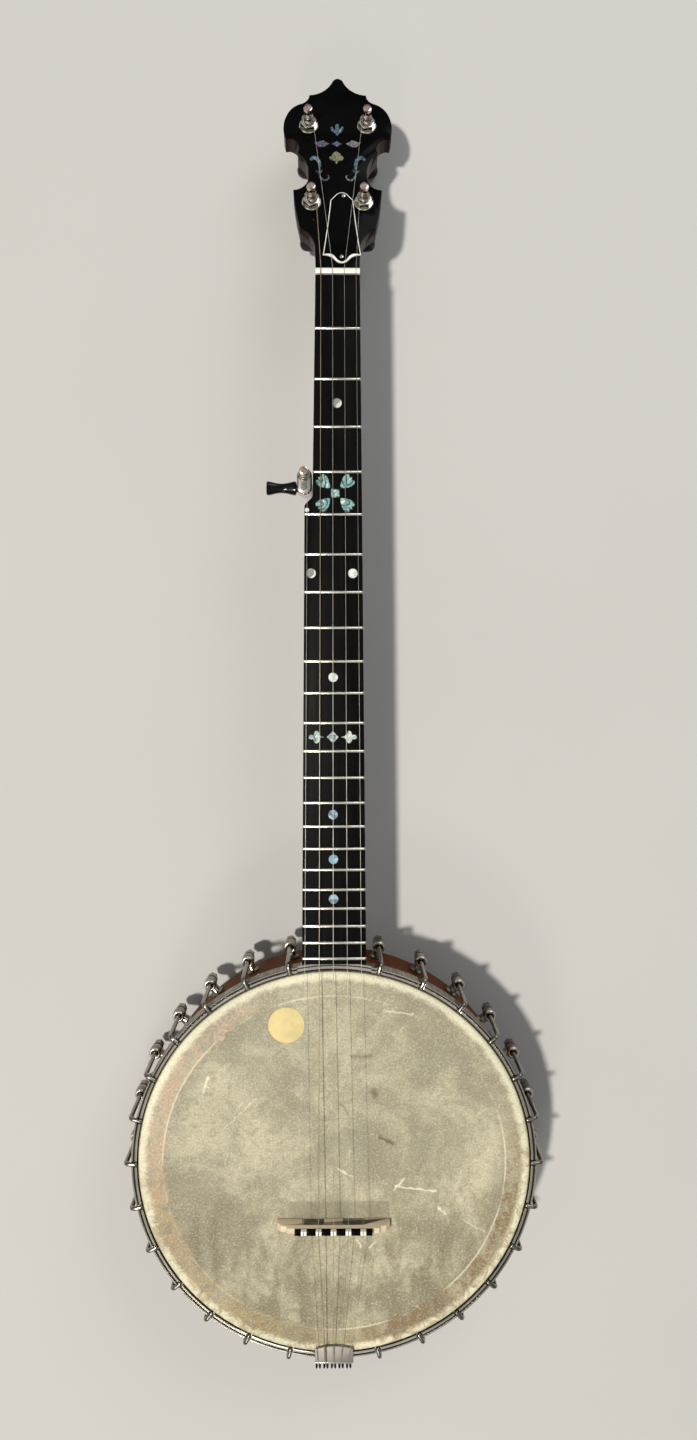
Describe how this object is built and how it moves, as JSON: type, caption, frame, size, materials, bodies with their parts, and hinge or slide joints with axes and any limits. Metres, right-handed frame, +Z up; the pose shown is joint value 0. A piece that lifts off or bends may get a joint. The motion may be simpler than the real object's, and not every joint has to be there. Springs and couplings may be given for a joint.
{
  "type": "open-back banjo",
  "caption": "Open-back banjo: wooden pot with a skin head, notched hoop and bracket hooks, long fretted neck, scroll peghead and geared pegs.",
  "frame": {"origin": "middle of the footprint's box, on the surface that the banjo lies on", "axes": "+Y along the neck towards the peghead, +X to the treble side, +Z up out of the head"},
  "size_m": [0.3078, 0.9412, 0.0973],
  "materials": {
    "nickel": "nickel plate, polished",
    "steel": "plain steel wire",
    "rim_wood": "reddish-brown lacquer, glossy",
    "neck_wood": "reddish-brown lacquer, satin",
    "ebony": "oiled ebony",
    "black_face": "black lacquer, glossy",
    "black_knob": "black, glossy",
    "bone": "polished bone",
    "maple": "bare maple",
    "skin": "aged calfskin, mottled"
  },
  "bodies": {
    "root": {"rim": "rim_wood", "neck": "neck_wood", "tone_ring": "nickel", "head": "skin", "tension_hoop": "nickel", "coordinator_rod": "nickel", "fingerboard": "ebony", "nut": "bone", "fifth_string_nut": "bone", "peghead_overlay": "black_face", "truss_rod_cover": "black_face", "truss_rod": "steel", "fifth_peg_case": "nickel", "bridge": "maple", "tailpiece": "nickel", "hook_01": "nickel", "hook_02": "nickel", "hook_03": "nickel", "hook_04": "nickel", "hook_05": "nickel", "hook_06": "nickel", "hook_07": "nickel", "hook_08": "nickel", "hook_09": "nickel", "hook_10": "nickel", "hook_11": "nickel", "hook_12": "nickel", "hook_13": "nickel", "hook_14": "nickel", "hook_15": "nickel", "hook_16": "nickel", "hook_17": "nickel", "hook_18": "nickel", "hook_19": "nickel", "hook_20": "nickel", "hook_21": "nickel", "hook_22": "nickel", "hook_23": "nickel", "hook_24": "nickel", "hook_25": "nickel", "hook_26": "nickel", "string_1": "steel", "string_2": "steel", "string_3": "steel", "string_4": "steel", "string_5": "steel", "tuner_1_case": "nickel", "tuner_2_case": "nickel", "tuner_3_case": "nickel", "tuner_4_case": "nickel"},
    "post_1": {"tuner_1_post": "nickel"},
    "button_1": {"tuner_1_button": "black_knob"},
    "post_2": {"tuner_2_post": "nickel"},
    "button_2": {"tuner_2_button": "black_knob"},
    "post_3": {"tuner_3_post": "nickel"},
    "button_3": {"tuner_3_button": "black_knob"},
    "post_4": {"tuner_4_post": "nickel"},
    "button_4": {"tuner_4_button": "black_knob"},
    "fifth_post": {"fifth_peg_post": "nickel"},
    "fifth_knob": {"fifth_peg_knob": "black_knob"}
  },
  "joints": [
    {"name": "post_1_turn", "type": "hinge", "parent": "root", "child": "post_1", "pos_m": [0.0206, 0.36837, 0.0671], "axis": [0, 0.2527, 0.9676], "continuous": true},
    {"name": "button_1_turn", "type": "hinge", "parent": "root", "child": "button_1", "pos_m": [0.0206, 0.3592, 0.03198], "axis": [0, 0.2527, 0.9676], "continuous": true},
    {"name": "post_2_turn", "type": "hinge", "parent": "root", "child": "post_2", "pos_m": [0.0231, 0.43078, 0.05081], "axis": [0, 0.2527, 0.9676], "continuous": true},
    {"name": "button_2_turn", "type": "hinge", "parent": "root", "child": "button_2", "pos_m": [0.0231, 0.42161, 0.01569], "axis": [0, 0.2527, 0.9676], "continuous": true},
    {"name": "post_3_turn", "type": "hinge", "parent": "root", "child": "post_3", "pos_m": [-0.0191, 0.43078, 0.05081], "axis": [0, 0.2527, 0.9676], "continuous": true},
    {"name": "button_3_turn", "type": "hinge", "parent": "root", "child": "button_3", "pos_m": [-0.0191, 0.42161, 0.01569], "axis": [0, 0.2527, 0.9676], "continuous": true},
    {"name": "post_4_turn", "type": "hinge", "parent": "root", "child": "post_4", "pos_m": [-0.0166, 0.36837, 0.0671], "axis": [0, 0.2527, 0.9676], "continuous": true},
    {"name": "button_4_turn", "type": "hinge", "parent": "root", "child": "button_4", "pos_m": [-0.0166, 0.3592, 0.03198], "axis": [0, 0.2527, 0.9676], "continuous": true},
    {"name": "fifth_post_turn", "type": "hinge", "parent": "root", "child": "fifth_post", "pos_m": [-0.02135, 0.17149, 0.08376], "axis": [0, 0.0024, 1], "continuous": true},
    {"name": "fifth_knob_turn", "type": "hinge", "parent": "root", "child": "fifth_knob", "pos_m": [-0.027, 0.16268, 0.07803], "axis": [-1, 0, 0], "continuous": true}
  ],
  "couplings": [
    {"joint": "button_1_turn", "follows": "post_1_turn", "ratio": 4},
    {"joint": "button_2_turn", "follows": "post_2_turn", "ratio": 4},
    {"joint": "button_3_turn", "follows": "post_3_turn", "ratio": 4},
    {"joint": "button_4_turn", "follows": "post_4_turn", "ratio": 4},
    {"joint": "fifth_knob_turn", "follows": "fifth_post_turn", "ratio": 14}
  ]
}
